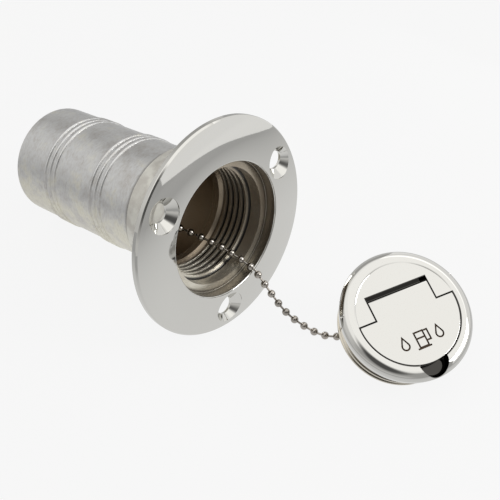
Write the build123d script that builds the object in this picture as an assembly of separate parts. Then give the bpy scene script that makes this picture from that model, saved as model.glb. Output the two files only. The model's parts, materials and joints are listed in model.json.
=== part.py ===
from build123d import *
import math
import os

os.makedirs("parts", exist_ok=True)

# ---------------------------------------------------------------- sizes, mm
# thread, which sets the cap's head, the opening and the flange round it
thread_d = 50.0          # major diameter of the cap thread
thread_pitch = 3.0
thread_depth = 1.6
thread_slack = 0.15      # radial room between the two threads
head_step = 2.5          # cap's head past its thread
head_room = 1.1          # radial room round the cap's head in the opening
cap_d = thread_d + 2 * head_step
opening_d = cap_d + 2 * head_room

# deck flange and threaded throat
face_w = 17.9            # width of the face from the opening to the outer edge
flange_d = opening_d + 2 * face_w
rim_h = 3.0              # height of the flange at its outer edge
lip_h = 5.2              # height of the domed face at the opening
face_crown = 0.35        # how far the face bulges from a straight cone
rim_round = 0.45
lip_round = 0.5
throat_relief = 5.5      # smooth bore between the seat and the first thread
thread_turns = 5
hub_wall = 3.4           # thick hub just behind the flange, outside the opening
hub_h = 6.0
hub_taper = 7.0
collar_wall = 1.3
collar_step = 1.2        # least step from the hose tube to the collar
neck_l = 26.5            # length of the cast neck below the flange

# screw holes, in the middle of the face
screw_off = 0.05         # outwards from the middle
screw_pcd = (flange_d + opening_d) / 2 + 2 * screw_off
screw_hole_d = 8.0
screw_csk_d = 14.6
screw_count = 3
screw_start = -11.4      # first hole, measured from the lowest point of the rim

# hose tube
hose_d = 50.0
hose_wall = 1.5
hose_l = 79.2
hose_chamfer = 0.6
ridge_h = 0.55
ridge_w = 2.0
ridge_step = 3.25
ridge_groups = (49.4, 80.8)   # middle of each group of three, below the deck

# cap
cap_head_h = 5.2
cap_edge_r = 2.0         # rounding of the top edge
cap_flat_in = 6.0        # flat top ends this far from the edge
cap_side_fall = 0.35     # draft of the head's side
cap_dome = 0.6           # fall of the top face towards its edge
cap_l = 18.7             # top face to the end of the thread
cap_relief = 8.6         # top face to the first thread
cap_thread_turns = 3
cap_wall = 3.325         # behind the thread, round the hollow under the cap
cap_roof = 8.2           # top face to the roof of the hollow
boss_d = 14.0
boss_end = 16.5          # top face to the end of the middle boss

# seal
seal_h = 2.0
seal_w = 2.9
seal_in = 0.125          # seal groove deeper than the thread's root

# folding handle plate and its recess
plate_t = 3.0
plate_floor = 0.25       # room under the plate
plate_rim = 5.7          # cap's edge to the round recess
plate_r = cap_d / 2 - plate_rim
plate_gap = 0.45         # line of shadow round the plate
tab_w = 28.2             # width of the hinge tab's recess
tab_top = 11.75          # far edge of the tab's recess from the cap's axis
tab_foot = 1.8           # where the tab meets the round part
hinge_y = 8.8            # hinge pin from the cap's axis
hinge_pin_d = 1.5
hinge_clear = 0.05
notch_r = 6.4            # finger notch
notch_in = 1.0           # its centre inside the recess's edge
notch_below = 0.95       # deeper than the recess
notch_round = 2.4
mark_depth = 0.35        # engraved pump sign
mark_line = 0.7

# swivel under the cap
stud_d = 4.0
stud_l = 7.0
shoulder_d = 5.0
stud_head_d = 6.2
stud_head_h = 2.2
stud_head_room = 0.3     # beside the head, between the strap's arms
washer_d = 9.0
washer_t = 0.5
swivel_clear = 0.06
swivel_float = 0.15
strap_t = 1.1
strap_w = 7.0
strap_gap = stud_head_d + 2 * stud_head_room
strap_lift = 0.05        # strap above the bench

# ball chain and its couplings
chain_d = 3.2
coupling_wall = 0.7
coupling_d = chain_d + 2 * coupling_wall
coupling_l = 9.0         # pin to mouth
eye_w = 4.0
eye_t = 2.6
pin_d = 1.9
pin_clear = 0.07
pin_head_d = 3.2
pin_head_h = 0.8
bracket_z = -50.0        # height of the chain bracket in the neck
bracket_out = 5.5        # pin from the wall
bracket_t = 1.2
bracket_w = 6.0
bracket_room = 0.5       # each side of the coupling
bracket_gap = coupling_d + 2 * bracket_room

# how the pieces lie on the bench
cap_x = 76.2
cap_y = 27.2
cap_tilt = 22.4          # cap axis from upright
cap_lean = -27.6         # direction it leans to
cap_roll = 4.1

# ---------------------------------------------------------------- shared radii
throat_r = thread_d / 2 + thread_slack / 2       # root of the neck's thread
major_r = thread_d / 2 - thread_slack / 2        # crest of the cap's thread
root_r = major_r - thread_depth
seal_r = root_r - seal_in
bore_r = root_r - cap_wall
hose_r = hose_d / 2
tube_in_r = hose_r - hose_wall
notch_y = plate_r - notch_in
notch_depth = plate_t + plate_floor + notch_below

# ---------------------------------------------------------------- frames
# The neck lies on the edge of its flange and the end of its tube.
hose_end = neck_l + hose_l
neck_rise = math.degrees(math.atan2(flange_d / 2 - hose_r, hose_end))
neck_z = flange_d / 2 * math.cos(math.radians(neck_rise))
neck_loc = Location((0, 0, neck_z), (0, 90 - neck_rise, 0))

tilt = math.radians(cap_tilt)
lean = math.radians(cap_lean)
roll = math.radians(cap_roll)
cap_axis = Vector(math.sin(tilt) * math.cos(lean), math.sin(tilt) * math.sin(lean), math.cos(tilt))
uphill = Vector(-math.cos(tilt) * math.cos(lean), -math.cos(tilt) * math.sin(lean), math.sin(tilt))
across = cap_axis.cross(uphill)
cap_to_hinge = uphill * math.cos(roll) + across * math.sin(roll)
cap_edge = major_r - 0.7
cap_z = cap_l * math.cos(tilt) + cap_edge * math.sin(tilt)
cap_loc = Plane(
    origin=(cap_x, cap_y, cap_z), x_dir=cap_to_hinge.cross(cap_axis), z_dir=cap_axis
).location

strap_r = strap_w / 2
strap_span = strap_gap + 2 * strap_t
chain_turn = Vector(55.5, 19.5, 1.9)     # last bend of the chain before the swivel


def swivel_frame():
    """Pin centre, chain direction and pin direction, with the strap just on the bench."""
    height = strap_r
    for _ in range(6):
        drop = (cap_z - height) / math.cos(tilt)
        pin = Vector(cap_x, cap_y, cap_z) - cap_axis * drop
        along = (chain_turn - pin).normalized()
        side = cap_axis.cross(along).normalized()
        flat = math.sqrt(1 - side.Z**2)
        height = strap_r * flat + strap_span / 2 * abs(side.Z) + strap_lift
    return drop, pin, along, side


pin_drop, swivel_pin, swivel_dir, swivel_side = swivel_frame()

# ball chain, from the bracket in the neck to the lip, and from the lip to the swivel
inner_route = [(-34.0, -6.0, 33.0), (-23.8, -0.3, 30.1), (-11.0, 3.9, 27.7), (1.5, 6.9, 25.3), (11.3, 8.4, 21.8)]
outer_route = [
    (12.3, 8.4, 21.0), (20.8, 8.0, 14.2), (30.0, 7.8, 7.6), (38.0, 11.2, 1.7), (47.5, 12.4, 1.7),
    tuple(chain_turn),
]


def neck_point(x, y, z):
    p = (neck_loc * Location((x, y, z))).position
    return Vector(p.X, p.Y, p.Z)


bracket_pin = neck_point(0, -tube_in_r + bracket_out, bracket_z)
anchor_dir = (Vector(*inner_route[0]) - bracket_pin).normalized()
anchor_mouth = bracket_pin + anchor_dir * coupling_l
swivel_mouth = swivel_pin + swivel_dir * coupling_l


# ---------------------------------------------------------------- helpers
def turned(points):
    """A closed (radius, height) outline turned about Z."""
    outline = Polyline(*[(r, 0, z) for r, z in points], close=True)
    return revolve(make_face(outline), Axis.Z)


def ring_box(r_in, r_out, z0, z1):
    return turned([(r_in, z0), (r_out, z0), (r_out, z1), (r_in, z1)])


def thread_outline(r_base, r_tip, z_top, turns):
    """Zigzag outline points going down from z_top."""
    out = []
    for i in range(turns):
        z = z_top - i * thread_pitch
        out.append((r_base, z))
        out.append((r_base, z - 0.25 * thread_pitch))
        out.append((r_tip, z - 0.45 * thread_pitch))
        out.append((r_tip, z - 0.80 * thread_pitch))
    return out


def chain_run(points):
    """Plain round body along straight runs and tangent arcs."""
    vs = [Vector(*p) for p in points]
    radii = []
    for a, b, c in zip(vs, vs[1:], vs[2:]):
        u = (b - a).normalized()
        w = (c - b).normalized()
        half = math.radians(u.get_angle(w)) / 2
        run = min((b - a).length, (c - b).length)
        radii.append(0.45 * run / math.tan(half))
    path = FilletPolyline(*vs, radius=radii)
    start = (vs[1] - vs[0]).normalized()
    section = Plane(origin=vs[0], z_dir=start) * Circle(chain_d / 2)
    body = sweep(section, path=path)
    print("chain length", round(path.length, 2), "radii", [round(r, 1) for r in radii],
          "volume ratio", round(body.volume / (path.length * math.pi * chain_d**2 / 4), 4))
    return body


def coupling():
    """Folded sleeve, pin eye at the origin, mouth at +Z; the pin runs along X."""
    sleeve_l = coupling_l - 3.4
    sleeve = Pos(0, 0, coupling_l - sleeve_l / 2) * Cylinder(coupling_d / 2, sleeve_l)
    sleeve = fillet(sleeve.edges().sort_by(Axis.Z)[0], 0.9)
    eye = Rot(0, 90, 0) * Cylinder(eye_w / 2, eye_t)
    web = Pos(0, 0, 1.9) * Box(eye_t, eye_w, 3.8)
    body = sleeve + eye + web
    body -= Rot(0, 90, 0) * Cylinder(pin_d / 2 + pin_clear, eye_t + 2)
    seam = Pos(0, coupling_d / 2, coupling_l - sleeve_l / 2 + 0.8) * Box(0.7, 0.8, sleeve_l)
    return body - seam


def pinned_frame(at, along, across_dir):
    """Location with Z along the coupling and X along its pin."""
    return Plane(origin=at, x_dir=across_dir, z_dir=along).location


# ---------------------------------------------------------------- neck pieces
def make_deck_flange():
    r_f = flange_d / 2
    r_o = opening_d / 2
    r_hub = r_o + hub_wall
    r_crest = throat_r - thread_depth
    r_collar = max(throat_r + collar_wall, hose_r + collar_step)
    mid_r = (r_f + r_o) / 2
    mid_h = (rim_h + lip_h) / 2
    face = ThreePointArc((r_f - 0.6, 0, rim_h), (mid_r, 0, mid_h + face_crown), (r_o, 0, lip_h))
    zig = thread_outline(throat_r, r_crest, -throat_relief, thread_turns)
    z_end = -throat_relief - thread_turns * thread_pitch
    inner = [(r_o, lip_h), (r_o, 0.0), (throat_r, 0.0)] + zig
    inner += [(throat_r, z_end), (throat_r, z_end - 1.2), (tube_in_r, z_end - 2.6), (tube_in_r, -neck_l)]
    outer = [(r_collar, -neck_l), (r_collar, -hub_h - hub_taper), (r_hub, -hub_h), (r_hub, 0.0)]
    outer += [(r_f - 0.4, 0.0), (r_f, 0.5), (r_f, rim_h - 0.7), (r_f - 0.6, rim_h)]
    line = Polyline(*[(r, 0, z) for r, z in inner + outer])
    body = revolve(make_face([line, face]), Axis.Z)
    rim = body.edges().filter_by(GeomType.CIRCLE)
    body = fillet([e for e in rim if abs(e.radius - r_o) < 0.01 and abs(e.center().Z - lip_h) < 0.01], lip_round)
    rim = body.edges().filter_by(GeomType.CIRCLE)
    body = fillet([e for e in rim if e.radius > r_f - 0.01 and e.center().Z > 1.5], rim_round)
    csk_h = (screw_csk_d - screw_hole_d) / 2
    face_z = mid_h + 0.3
    for i in range(screw_count):
        a = math.radians(screw_start + 360 / screw_count * i)
        x = screw_pcd / 2 * math.cos(a)
        y = screw_pcd / 2 * math.sin(a)
        body -= Pos(x, y, 0) * Cylinder(screw_hole_d / 2, 20)
        body -= Pos(x, y, face_z - csk_h / 2) * Cone(screw_hole_d / 2, screw_csk_d / 2, csk_h)
        body -= Pos(x, y, face_z + 2) * Cylinder(screw_csk_d / 2, 4)
    return neck_loc * body


def make_hose_tube():
    r_out = hose_r
    body = ring_box(tube_in_r, r_out, -hose_end, -neck_l)
    ends = [e for e in body.edges().filter_by(GeomType.CIRCLE) if e.center().Z < -hose_end + 0.1]
    body = chamfer(ends, hose_chamfer)
    for mid in ridge_groups:
        for i in (-1, 0, 1):
            z = -mid + i * ridge_step
            sink = 0.3
            arc = ThreePointArc((r_out - sink, 0, z - ridge_w / 2), (r_out + ridge_h, 0, z),
                                (r_out - sink, 0, z + ridge_w / 2))
            close = Line((r_out - sink, 0, z + ridge_w / 2), (r_out - sink, 0, z - ridge_w / 2))
            body += revolve(make_face([arc, close]), Axis.Z)
    return neck_loc * body


def bracket_location():
    """Z points from the wall into the bore, X lies along the pin."""
    wall = neck_point(0, -tube_in_r, bracket_z)
    inward = Vector(0, 1, 0)
    return Plane(origin=wall, x_dir=inward.cross(anchor_dir).normalized(), z_dir=inward).location


def make_chain_bracket():
    span = bracket_gap + 2 * bracket_t
    body = Pos(0, 0, bracket_out / 2 - 1.0) * Box(span, bracket_w, bracket_out + 2.0)
    body += Pos(0, 0, bracket_out) * (Rot(0, 90, 0) * Cylinder(bracket_w / 2, span))
    body -= Pos(0, 0, bracket_out + 1.6) * Box(bracket_gap, bracket_w + 2, 2 * bracket_out)
    body -= Pos(0, 0, bracket_out) * (Rot(0, 90, 0) * Cylinder(pin_d / 2, span + 2))
    body = bracket_location() * body
    bore = neck_loc * (Pos(0, 0, bracket_z) * Cylinder(tube_in_r, 40))
    return body & bore


def rivet_pin(span):
    body = Rot(0, 90, 0) * Cylinder(pin_d / 2, span)
    for s in (-1, 1):
        head = Pos(s * (span / 2 + pin_head_h / 2), 0, 0) * (Rot(0, 90, 0) * Cylinder(pin_head_d / 2, pin_head_h))
        body += head
    return body


def make_bracket_pin():
    span = bracket_gap + 2 * bracket_t
    return bracket_location() * (Pos(0, 0, bracket_out) * rivet_pin(span))


def make_anchor_coupling():
    side = Vector(0, 1, 0).cross(anchor_dir).normalized()
    return pinned_frame(bracket_pin, anchor_dir, side) * coupling()


def make_chain_inner():
    return chain_run([tuple(anchor_mouth)] + inner_route)


# ---------------------------------------------------------------- tether pieces
def make_chain_outer():
    return chain_run(outer_route + [tuple(swivel_mouth)])


def make_cap_coupling():
    return pinned_frame(swivel_pin, swivel_dir, swivel_side) * coupling()


def strap_frame():
    """Origin at the middle of the cap's top face, Z the cap's axis, X the pin."""
    return Plane(origin=(cap_x, cap_y, cap_z), x_dir=swivel_side, z_dir=cap_axis).location


def make_swivel_strap():
    top = -boss_end - washer_t - swivel_float
    span = strap_span
    drop = pin_drop + top
    body = Pos(0, 0, top - drop / 2) * Box(span, strap_w, drop)
    body += Pos(0, 0, -pin_drop) * (Rot(0, 90, 0) * Cylinder(strap_r, span))
    body -= Pos(0, 0, top - strap_t - drop) * Box(strap_gap, strap_w + 2, 2 * drop)
    body -= Pos(0, 0, -pin_drop) * (Rot(0, 90, 0) * Cylinder(pin_d / 2, span + 2))
    body -= Pos(0, 0, top) * Cylinder(shoulder_d / 2 + swivel_clear, 6)
    return strap_frame() * body


def make_swivel_pin():
    span = strap_span
    return strap_frame() * (Pos(0, 0, -pin_drop) * rivet_pin(span))


# ---------------------------------------------------------------- cap pieces
def plate_shape(r, half_w, foot, end, height):
    """Round plate with a narrower hinge tab, as a prism below z = 0."""
    disc = Pos(0, 0, -height / 2) * Cylinder(r, height)
    disc = disc & (Pos(0, foot - 50, -height / 2) * Box(100, 100, height + 1))
    tab = Pos(0, (foot + end) / 2 - 0.5, -height / 2) * Box(2 * half_w, end - foot + 1, height)
    return disc + tab


def make_cap_body():
    r = cap_d / 2
    flat_r = r - cap_flat_in
    arc = ThreePointArc((flat_r, 0, 0), (r - 1.6, 0, -cap_dome), (r, 0, -cap_dome - cap_edge_r))
    zig = thread_outline(root_r, major_r, -cap_relief, cap_thread_turns)
    side = [(r, -cap_dome - cap_edge_r), (r - cap_side_fall, -cap_head_h), (seal_r, -cap_head_h)]
    side += [(seal_r, -cap_head_h - seal_h), (major_r, -cap_head_h - seal_h), (major_r, -cap_relief + 0.6)]
    side += zig
    z_end = -cap_relief - cap_thread_turns * thread_pitch
    side += [(root_r, z_end), (cap_edge, -cap_l + 0.4), (cap_edge, -cap_l)]
    side += [(bore_r, -cap_l), (bore_r, -cap_roof), (boss_d / 2, -cap_roof), (boss_d / 2, -boss_end)]
    side += [(0, -boss_end), (0, 0), (flat_r, 0)]
    body = revolve(make_face([arc, Polyline(*[(a, 0, b) for a, b in side])]), Axis.Z)
    depth = plate_t + plate_floor
    body -= plate_shape(plate_r, tab_w / 2, tab_foot, tab_top, depth)
    notch = Pos(0, -notch_y, -notch_depth / 2 + 2) * Cylinder(notch_r, notch_depth + 4)
    notch = fillet(notch.edges().filter_by(GeomType.CIRCLE).sort_by(Axis.Z)[0], notch_round)
    body -= notch
    body -= hinge_line(hinge_pin_d / 2, 2 * r)
    body -= Pos(0, 0, -boss_end + stud_l / 2 - 1) * Cylinder(stud_d / 2, stud_l + 2)
    return cap_loc * body


def hinge_line(radius, length):
    return Pos(0, hinge_y, -plate_t / 2) * (Rot(0, 90, 0) * Cylinder(radius, length))


def make_cap_seal():
    z1 = -cap_head_h
    body = ring_box(seal_r, seal_r + seal_w, z1 - seal_h, z1)
    outer = [e for e in body.edges().filter_by(GeomType.CIRCLE) if e.radius > seal_r + seal_w - 0.01]
    body = fillet(outer, 0.8)
    return cap_loc * body


def drop_mark(x, y, size):
    """Outline drop."""
    ring = Pos(x, y) * (Circle(size) - Circle(size - mark_line))
    tip = Pos(x, y) * make_face(Polyline((-size * 0.86, size * 0.5), (size * 0.86, size * 0.5), (0, size * 2.3), close=True))
    inner = Pos(x, y) * make_face(
        Polyline((-size * 0.86 + mark_line, size * 0.5), (size * 0.86 - mark_line, size * 0.5),
                 (0, size * 2.3 - 2.2 * mark_line), close=True)
    )
    core = Pos(x, y) * Circle(size - mark_line)
    return (ring + tip) - inner - core


def pump_mark(x, y):
    """Outline filling pump with its hose."""
    case = Pos(x, y) * (Rectangle(4.6, 7.0) - Rectangle(4.6 - 2 * mark_line, 7.0 - 2 * mark_line))
    bar = Pos(x, y + 0.6) * Rectangle(4.4, mark_line)
    foot = Pos(x, y - 3.5) * Rectangle(6.2, mark_line)
    arm = Pos(x + 3.1, y - 1.2) * Rectangle(1.6, mark_line)
    hose = Pos(x + 3.9, y + 0.8) * Rectangle(mark_line, 4.7)
    nozzle = Pos(x + 3.3, y + 3.0) * Rectangle(1.9, mark_line)
    return case + bar + foot + arm + hose + nozzle


def make_handle_plate():
    g = plate_gap
    end = hinge_y + plate_t / 2
    body = plate_shape(plate_r - g, tab_w / 2 - g, tab_foot - g, hinge_y, plate_t)
    body += hinge_line(plate_t / 2, tab_w - 2 * g)
    top = body.edges().filter_by(lambda e: abs(e.center().Z) < 0.01 and e.center().Y < tab_foot)
    body = fillet(top, 0.25)
    mark = pump_mark(-0.3, -11.4) + drop_mark(-7.6, -11.9, 1.9) + drop_mark(8.0, -11.9, 1.9)
    body -= extrude(Plane.XY.offset(-mark_depth) * mark, mark_depth + 1)
    body -= hinge_line(hinge_pin_d / 2 + hinge_clear, tab_w + 4)
    return cap_loc * body


def make_hinge_pin():
    pin = hinge_line(hinge_pin_d / 2, 2 * cap_d)
    rod = pin & (Pos(0, 0, -2.5) * Cylinder(cap_d / 2 - 0.9, 5.0))
    return cap_loc * rod


def make_swivel_stud():
    shoulder = washer_t + strap_t + 2 * swivel_float
    body = Pos(0, 0, -boss_end + stud_l / 2) * Cylinder(stud_d / 2, stud_l)
    body += Pos(0, 0, -boss_end - shoulder / 2) * Cylinder(shoulder_d / 2, shoulder)
    head = Pos(0, 0, -boss_end - shoulder - stud_head_h / 2) * Cylinder(stud_head_d / 2, stud_head_h)
    head = fillet(head.edges().filter_by(GeomType.CIRCLE).sort_by(Axis.Z)[0], 0.8)
    head -= Pos(0, 0, -boss_end - shoulder - stud_head_h) * Box(0.9, 12, 1.8)
    return cap_loc * (body + head)


def make_swivel_washer():
    body = ring_box(shoulder_d / 2 + 0.05, washer_d / 2, -boss_end - washer_t, -boss_end)
    return cap_loc * body


pieces = {
    "deck_flange": make_deck_flange,
    "hose_tube": make_hose_tube,
    "chain_bracket": make_chain_bracket,
    "bracket_pin": make_bracket_pin,
    "anchor_coupling": make_anchor_coupling,
    "chain_inner": make_chain_inner,
    "chain_outer": make_chain_outer,
    "cap_coupling": make_cap_coupling,
    "swivel_pin": make_swivel_pin,
    "swivel_strap": make_swivel_strap,
    "swivel_washer": make_swivel_washer,
    "swivel_stud": make_swivel_stud,
    "cap_body": make_cap_body,
    "cap_seal": make_cap_seal,
    "hinge_pin": make_hinge_pin,
    "handle_plate": make_handle_plate,
}

chain_names = ("chain_inner", "chain_outer", "anchor_coupling", "cap_coupling")
shapes = {name: make() for name, make in pieces.items()}
boxes = [shape.bounding_box() for name, shape in shapes.items() if name not in chain_names]
mid_x = (min(b.min.X for b in boxes) + max(b.max.X for b in boxes)) / 2
mid_y = (min(b.min.Y for b in boxes) + max(b.max.Y for b in boxes)) / 2
print("footprint middle", round(mid_x, 3), round(mid_y, 3))

for name, shape in shapes.items():
    placed = Pos(-mid_x, -mid_y, 0) * shape
    box = placed.bounding_box()
    print(name, "solids", len(placed.solids()), "volume", round(placed.volume, 1),
          "low", round(box.min.Z, 2), "valid", placed.is_valid)
    export_step(placed, f"parts/{name}.step")

for label, point in (
    ("neck top centre", neck_point(0, 0, 0)), ("tube middle", neck_point(0, 0, -95)),
    ("bracket pin", bracket_pin), ("anchor mouth", anchor_mouth), ("swivel pin", swivel_pin),
    ("swivel mouth", swivel_mouth), ("cap centre", Vector(cap_x, cap_y, cap_z)),
):
    print(label, [round(v, 3) for v in (point.X - mid_x, point.Y - mid_y, point.Z)])
print("neck rise", round(neck_rise, 4), "cap axis", [round(v, 5) for v in cap_axis],
      "to hinge", [round(v, 5) for v in cap_to_hinge], "swivel side", [round(v, 5) for v in swivel_side])
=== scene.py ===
"""Polished deck filler for a boat: flange and hose neck, and its screw cap beside it on a ball chain."""

import json
import math

import bpy
from mathutils import Matrix, Vector


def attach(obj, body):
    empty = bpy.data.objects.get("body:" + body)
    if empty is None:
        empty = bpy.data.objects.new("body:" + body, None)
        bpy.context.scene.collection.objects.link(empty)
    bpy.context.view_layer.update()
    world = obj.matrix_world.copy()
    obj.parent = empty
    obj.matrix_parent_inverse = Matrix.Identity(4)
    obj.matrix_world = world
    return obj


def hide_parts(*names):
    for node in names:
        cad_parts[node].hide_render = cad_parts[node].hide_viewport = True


bl_info = {
    "name": "Deck Fill Cap",
    "version": (1, 0, 0),
    "blender": (4, 5, 0),
    "location": "View3D > Sidebar > Deck Fill",
    "description": "Ball chain, finishes, stage and camera for a deck fill cap",
    "category": "Object",
}

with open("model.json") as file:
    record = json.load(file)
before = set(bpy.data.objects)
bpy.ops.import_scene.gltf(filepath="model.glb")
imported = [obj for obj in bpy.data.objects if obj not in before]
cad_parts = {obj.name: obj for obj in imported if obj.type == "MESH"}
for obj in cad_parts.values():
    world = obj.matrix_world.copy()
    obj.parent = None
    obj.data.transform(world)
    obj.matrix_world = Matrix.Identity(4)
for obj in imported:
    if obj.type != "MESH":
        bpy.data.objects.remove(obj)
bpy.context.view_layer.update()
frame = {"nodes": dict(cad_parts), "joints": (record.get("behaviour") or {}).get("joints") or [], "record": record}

MM = 0.001

# Where a finish begins and where it is full, in the neck's own place:
# R is measured out from its axis, Z forwards from the flange's back
THROAT_RIM_R = (28.75 * MM, 28.6 * MM)
THROAT_RIM_Z = (4.9 * MM, 4.6 * MM)
FLANGE_BACK_R = (28.4 * MM, 28.7 * MM)
FLANGE_BACK_Z = (0.4 * MM, 0.1 * MM)
COLLAR_R = (25.6 * MM, 25.9 * MM)
COLLAR_Z = (-1.0 * MM, -1.3 * MM)
NECK_THREAD_START_Z = (-5.4 * MM, -5.6 * MM)
NECK_THREAD_END_Z = (-20.6 * MM, -20.4 * MM)
NECK_ROOT_R = (23.9 * MM, 24.8 * MM)
SEAT_WALL_R = (27.2 * MM, 28.0 * MM)
DEEP_SHADE_Z = (-18.5 * MM, -21.5 * MM)
TUBE_BORE_R = (24.2 * MM, 23.8 * MM)
COLLAR_STEP_Z = (-29.6 * MM, -27.8 * MM)

# The same in the cap's own place:
# R is measured out from its axis, Z up from its top, Y towards the hinge
CAP_UNDERSIDE_Z = (-5.1 * MM, -5.3 * MM)
CAP_THREAD_START_Z = (-8.5 * MM, -8.7 * MM)
CAP_THREAD_END_Z = (-17.7 * MM, -17.5 * MM)
CAP_ROOT_R = (24.7 * MM, 23.7 * MM)
SKIRT_R = (21.0 * MM, 21.4 * MM)
SKIRT_END_Z = (-8.7 * MM, -8.5 * MM)
NOTCH_PLACE = (0, -20.8 * MM, 0)
NOTCH_R = (6.7 * MM, 6.4 * MM)
NOTCH_Z = (-0.3 * MM, -1.6 * MM)
RECESS_R = (22.5 * MM, 22.2 * MM)
RECESS_Z = (-0.1 * MM, -0.3 * MM)
POCKET_FLOOR_Z = (-5.0 * MM, -4.6 * MM)
GAP_FLOOR_Z = (-1.0 * MM, -0.5 * MM)
ENGRAVING_TOP_Z = (-0.04 * MM, -0.16 * MM)
ENGRAVING_FLOOR_Z = (-0.5 * MM, -0.4 * MM)
ENGRAVING_Y = (-5.5 * MM, -6.0 * MM)
ENGRAVING_R = (18.5 * MM, 18.0 * MM)
PLATE_EDGE_TOP_Z = (-0.12 * MM, -1.0 * MM)
PLATE_EDGE_FOOT_Z = (-2.95 * MM, -2.85 * MM)

# Middle of the gap round the T-shaped plate, in the cap's own place, and half the width of its painted shade line
PLATE_R = 21.58 * MM
TAB_HALF = 13.88 * MM
TAB_FOOT = 1.58 * MM
TAB_TOP = 11.75 * MM
GAP_LINE = 0.30 * MM
GAP_LINE_SOFT = 0.12 * MM

# Brightness of the light tent round the object
TENT_SIDES = 0.46
TENT_LEFT = 0.80
TENT_LOW = 0.66
TENT_TOP = 1.22
TENT_GAP = 0.10

# Brightness of the table, seen directly, and mirrored in the metal near the object and away from it
TABLE_SEEN = 0.955
TABLE_NEAR = 0.86
TABLE_AWAY = 0.46

# Half the side of the table, and the point that the camera looks at
TABLE_HALF = 4.0
CAMERA_TARGET = Vector((0.005277, 0.012803, 0.020000))

# Control points of the chain's two routes: from the coupling in the neck to the lip, and on to the cap
LIP_POINT = (0.015418, 0.004229, 0.021400)
INNER_ROUTE = (
    (-0.038415, -0.016599, 0.034393), (-0.030382, -0.010171, 0.033000), (-0.020182, -0.004471, 0.030100),
    (-0.007382, -0.000271, 0.027700), (0.005118, 0.002729, 0.025300), LIP_POINT,
)
OUTER_ROUTE = (
    LIP_POINT, (0.024418, 0.003829, 0.014200), (0.033618, 0.003629, 0.007600), (0.041618, 0.007029, 0.001700),
    (0.051118, 0.008229, 0.001700), (0.059118, 0.015329, 0.001900), (0.065424, 0.021139, 0.003406),
)


# ---------------------------------------------------------------- places, from the frame
def joint_called(name):
    return next(j for j in frame["joints"] if j["name"] == name)


def mount_called(name):
    return next(m for m in frame["record"]["mounts"] if m["name"] == name)


def axes(x, z):
    """Rotation whose local X and Z point along these two directions."""
    z = Vector(z).normalized()
    x = (Vector(x) - Vector(x).dot(z) * z).normalized()
    y = z.cross(x)
    return Matrix((x, y, z)).transposed()


def neck_place():
    """The neck's own place: origin in the middle of the flange's back, Z out of the throat, X down."""
    screws = mount_called("deck_screws")
    return Vector(screws["pos_m"]), axes((0, 0, -1), screws["axis"])


def cap_place():
    """The cap's own place: origin in the middle of its top, Z up its axis, Y towards the handle's hinge."""
    turn = joint_called("cap_turn")
    return Vector(turn["pos_m"]), axes(-Vector(joint_called("handle_flip")["axis"]), turn["axis"])


# ---------------------------------------------------------------- settings
class DeckFillChainSizes(bpy.types.PropertyGroup):
    """Sizes of the ball chain"""

    bead_d: bpy.props.FloatProperty(
        name="Bead Diameter", description="Outside diameter of one ball", default=3.4 * MM, min=1 * MM,
        unit="LENGTH", precision=5)
    pitch: bpy.props.FloatProperty(
        name="Bead Pitch", description="Distance from ball to ball", default=5.0 * MM, min=2 * MM,
        unit="LENGTH", precision=5)
    wire_d: bpy.props.FloatProperty(
        name="Wire Diameter", description="Thickness of the links between the balls", default=0.95 * MM,
        min=0.2 * MM, unit="LENGTH", precision=5)
    hole_d: bpy.props.FloatProperty(
        name="Hole Diameter", description="Opening in each ball that its link comes out of", default=1.3 * MM,
        min=0.3 * MM, unit="LENGTH", precision=5)


class DeckFillColours(bpy.types.PropertyGroup):
    """Colours of the finishes"""

    mirror: bpy.props.FloatVectorProperty(
        name="Mirror Steel", description="Polished stainless steel", subtype="COLOR", size=4,
        default=(0.640, 0.635, 0.610, 1), min=0, max=1)
    throat: bpy.props.FloatVectorProperty(
        name="Turned Steel", description="Machined steel in the throat and under the cap", subtype="COLOR",
        size=4, default=(0.720, 0.690, 0.600, 1), min=0, max=1)
    satin: bpy.props.FloatVectorProperty(
        name="Satin Steel", description="Satin outside of the hose tube", subtype="COLOR", size=4,
        default=(0.655, 0.660, 0.662, 1), min=0, max=1)
    # Warm tone of random patches on the satin steel; on the tube its lower side also takes this tone as painted
    # warm light from the table below.
    satin_warm: bpy.props.FloatVectorProperty(
        name="Satin Steel Patches", description="Warmer patches on the satin tube", subtype="COLOR", size=4,
        default=(0.740, 0.720, 0.625, 1), min=0, max=1)
    nickel: bpy.props.FloatVectorProperty(
        name="Nickel", description="Plating of the chain and its couplings", subtype="COLOR", size=4,
        default=(0.400, 0.372, 0.338, 1), min=0, max=1)
    rubber: bpy.props.FloatVectorProperty(
        name="Seal Rubber", description="Black nitrile rubber of the seal", subtype="COLOR", size=4,
        default=(0.012, 0.012, 0.013, 1), min=0, max=1)
    # Painted shade on the throat's seat wall, on the tube at its collar step and in the cap's thread roots.
    grime: bpy.props.FloatVectorProperty(
        name="Grime", description="Old fuel film in thread roots, gaps and pockets", subtype="COLOR", size=4,
        default=(0.090, 0.076, 0.060, 1), min=0, max=1)
    # Brown of real stains in random patches on the throat, the tube and the flange's back; also painted shade deep
    # in the neck, inside the tube's bore and over one side of the throat.
    stained: bpy.props.FloatVectorProperty(
        name="Stained Steel", description="Brown-stained steel deep in the neck", subtype="COLOR", size=4,
        default=(0.300, 0.245, 0.180, 1), min=0, max=1)
    # Painted shade in the neck's thread roots, on the cap's skirt under the head, in its finger notch and pocket,
    # along the gap round the plate and on the plate's edge.
    soot: bpy.props.FloatVectorProperty(
        name="Gap Shadow", description="Dark film in the gaps and the finger pocket of the cap",
        subtype="COLOR", size=4, default=(0.055, 0.053, 0.050, 1), min=0, max=1)
    oxide: bpy.props.FloatVectorProperty(
        name="Engraving", description="Dark oxide in the engraved sign", subtype="COLOR", size=4,
        default=(0.050, 0.036, 0.026, 1), min=0, max=1)


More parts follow.
